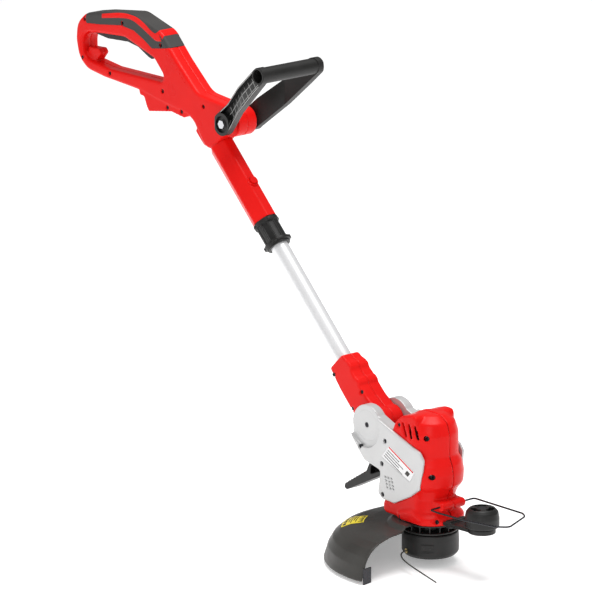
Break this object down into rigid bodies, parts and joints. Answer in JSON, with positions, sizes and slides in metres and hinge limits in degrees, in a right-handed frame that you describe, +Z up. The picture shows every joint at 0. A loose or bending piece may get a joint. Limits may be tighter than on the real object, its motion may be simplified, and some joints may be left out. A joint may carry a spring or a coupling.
{
  "type": "string trimmer",
  "caption": "Corded electric string trimmer with a looped rear handle, swivel second handle, telescopic turning shaft, tilting motor head, guard, guide wheel and wire plant guard.",
  "frame": {"origin": "centre of the rear grip, where the user's rear hand holds it", "axes": "+X forward, away from the user; +Y to the user's left; +Z up, along the spool's axis in the working pose"},
  "size_m": [1.0511, 0.316, 0.7862],
  "materials": {
    "red_plastic": "moulded, satin gloss",
    "soft_grey": "soft matt overmould",
    "black_plastic": "fine-grained matt",
    "dark_grey_plastic": "fine-grained satin",
    "silver_plastic": "silver-grey, satin",
    "aluminium_tube": "drawn, satin anodised",
    "zinc_steel": "zinc plated",
    "black_screw": "black oxide",
    "spring_wire": "black coated wire",
    "copper_windings": "enamelled copper and steel",
    "brass_pin": "bright",
    "rating_sheet": "printed foil",
    "yellow_label": "printed foil",
    "cable_sheath": "matt",
    "capacitor_case": "moulded",
    "nylon_line": "smooth monofilament"
  },
  "bodies": {
    "handle": {"housing_right": "red_plastic", "housing_left": "red_plastic", "soft_grip": "soft_grey", "housing_screws": "black_screw", "trigger_pin": "zinc_steel", "plug_insert": "black_plastic", "plug_pins": "brass_pin", "switch_body": "black_plastic", "capacitor": "capacitor_case", "handle_cable": "cable_sheath"},
    "trigger": {"trigger": "black_plastic"},
    "swivel_handle": {"swivel_handle": "black_plastic", "clamp_bolt": "zinc_steel"},
    "clamp_knob": {"clamp_knob": "black_plastic"},
    "turn_sleeve": {"turn_sleeve": "red_plastic"},
    "lock_button": {"lock_button": "red_plastic"},
    "clamp_collar": {"clamp_collar": "black_plastic"},
    "shaft_tube": {"telescopic_tube": "aluminium_tube", "tube_cable": "cable_sheath", "knuckle_right": "red_plastic", "knuckle_left": "red_plastic", "knuckle_screws": "black_screw"},
    "head": {"head_cover_right": "silver_plastic", "head_cover_left": "silver_plastic", "cover_screws": "black_screw", "motor_housing_right": "red_plastic", "motor_housing_left": "red_plastic", "motor_housing_screws": "black_screw", "motor_can": "zinc_steel", "brush_holders": "black_plastic", "lower_bearing": "zinc_steel", "upper_bearing": "zinc_steel", "tilt_pin": "zinc_steel", "tilt_screws": "black_screw", "guard": "dark_grey_plastic", "guard_screws": "black_screw", "warning_label": "yellow_label", "line_cutter": "zinc_steel", "wheel_bracket": "black_plastic", "wheel_axle": "black_screw", "pedal_pin": "zinc_steel", "rating_plate": "rating_sheet"},
    "pedal": {"foot_pedal": "black_plastic"},
    "rotor": {"motor_rotor": "copper_windings", "spool_carrier": "black_plastic", "spool": "dark_grey_plastic", "spool_cap": "black_plastic", "line_eyelets": "brass_pin", "wound_line": "nylon_line", "bump_spring": "zinc_steel", "cutting_line": "nylon_line"},
    "bump_knob": {"bump_knob": "black_plastic"},
    "hoop": {"plant_hoop": "spring_wire"},
    "guide_wheel": {"guide_wheel": "black_plastic"}
  },
  "joints": [
    {"name": "trigger_squeeze", "type": "hinge", "parent": "handle", "child": "trigger", "pos_m": [-0.064, 0, -0.013], "axis": [0, -1, 0], "range_deg": [0, 3.2], "stiffness_Nm_per_rad": 8, "springref_deg": -4.58},
    {"name": "handle_tilt", "type": "hinge", "parent": "handle", "child": "swivel_handle", "pos_m": [0.293, 0, -0.1145], "axis": [0, 1, 0], "range_deg": [-60, 40]},
    {"name": "knob_turn", "type": "hinge", "parent": "swivel_handle", "child": "clamp_knob", "pos_m": [0.293, 0, -0.1145], "axis": [0, 1, 0], "continuous": true},
    {"name": "sleeve_turn", "type": "hinge", "parent": "handle", "child": "turn_sleeve", "pos_m": [0.25106, 0, -0.16279], "axis": [0.7009, 0, -0.7133], "range_deg": [0, 180]},
    {"name": "button_press", "type": "slide", "parent": "turn_sleeve", "child": "lock_button", "axis": [-0.7133, 0, -0.7009], "range_m": [0, 0.0025], "stiffness_N_per_m": 900, "springref_m": -0.002},
    {"name": "collar_twist", "type": "hinge", "parent": "turn_sleeve", "child": "clamp_collar", "pos_m": [0.3576, 0, -0.2712], "axis": [0.7009, 0, -0.7133], "range_deg": [0, 90]},
    {"name": "tube_slide", "type": "slide", "parent": "turn_sleeve", "child": "shaft_tube", "axis": [-0.7009, 0, 0.7133], "range_m": [0, 0.09]},
    {"name": "head_tilt", "type": "hinge", "parent": "shaft_tube", "child": "head", "pos_m": [0.6454, 0, -0.54695], "axis": [0, -1, 0], "range_deg": [-15, 45]},
    {"name": "pedal_press", "type": "hinge", "parent": "head", "child": "pedal", "pos_m": [0.697, 0, -0.62595], "axis": [0, -1, 0], "range_deg": [0, 8], "stiffness_Nm_per_rad": 6, "springref_deg": -3.44},
    {"name": "rotor_spin", "type": "hinge", "parent": "head", "child": "rotor", "pos_m": [0.754, 0, -0.74295], "axis": [0, 0, 1], "continuous": true},
    {"name": "bump_press", "type": "slide", "parent": "rotor", "child": "bump_knob", "axis": [0, 0, 1], "range_m": [0, 0.004], "stiffness_N_per_m": 1200, "springref_m": -0.002, "deforming": ["bump_spring"]},
    {"name": "hoop_fold", "type": "hinge", "parent": "head", "child": "hoop", "pos_m": [0.802, 0, -0.65195], "axis": [0, -1, 0], "range_deg": [0, 90]},
    {"name": "wheel_spin", "type": "hinge", "parent": "head", "child": "guide_wheel", "pos_m": [0.872, 0, -0.66295], "axis": [0, 0, 1], "continuous": true}
  ]
}
